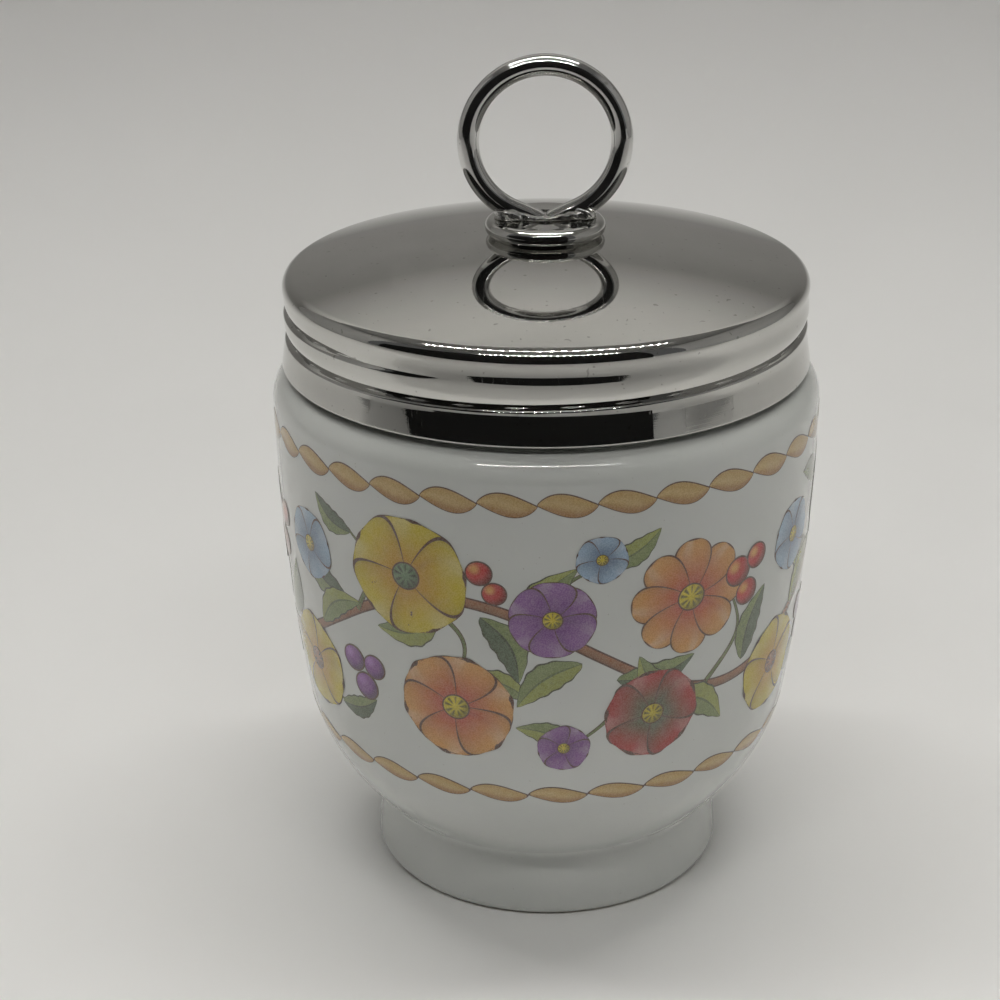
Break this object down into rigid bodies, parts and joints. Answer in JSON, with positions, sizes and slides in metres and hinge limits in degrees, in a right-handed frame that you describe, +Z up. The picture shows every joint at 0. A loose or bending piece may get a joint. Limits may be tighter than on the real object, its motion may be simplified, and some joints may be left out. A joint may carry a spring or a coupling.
{
  "type": "egg coddler",
  "caption": "Small glazed porcelain cup on a foot ring, with a screw-on polished metal lid that carries a round boss and an upright wire ring for lifting.",
  "frame": {"origin": "middle of the foot ring's underside, on the table", "axes": "+Z up along the axis of cup and lid, the ring lies in the XZ plane, the front is towards -Y"},
  "size_m": [0.06, 0.06, 0.0928],
  "materials": {
    "porcelain": "gloss glaze over white body",
    "polished_lid": "mirror-polished plated sheet",
    "polished_boss": "polished, soft edges",
    "polished_wire": "polished round wire",
    "braze": "plated over a rough melted surface",
    "rivet_steel": "dull"
  },
  "bodies": {
    "cup": {"cup": "porcelain"},
    "rivet": {"boss_rivet": "rivet_steel", "rivet_washer": "rivet_steel"},
    "lid": {"lid_shell": "polished_lid", "lid_boss": "polished_boss", "ring_handle": "polished_wire", "ring_braze": "braze"}
  },
  "joints": [
    {"name": "lid_rise", "type": "slide", "parent": "cup", "child": "rivet", "axis": [0, 0, 1], "range_m": [0, 0.01425]},
    {"name": "lid_turn", "type": "hinge", "parent": "rivet", "child": "lid", "pos_m": [0, 0, 0.073], "axis": [0, 0, 1], "range_deg": [0, 1800]}
  ],
  "couplings": [
    {"joint": "lid_turn", "follows": "lid_rise", "rad_per_m": 2204.6}
  ]
}
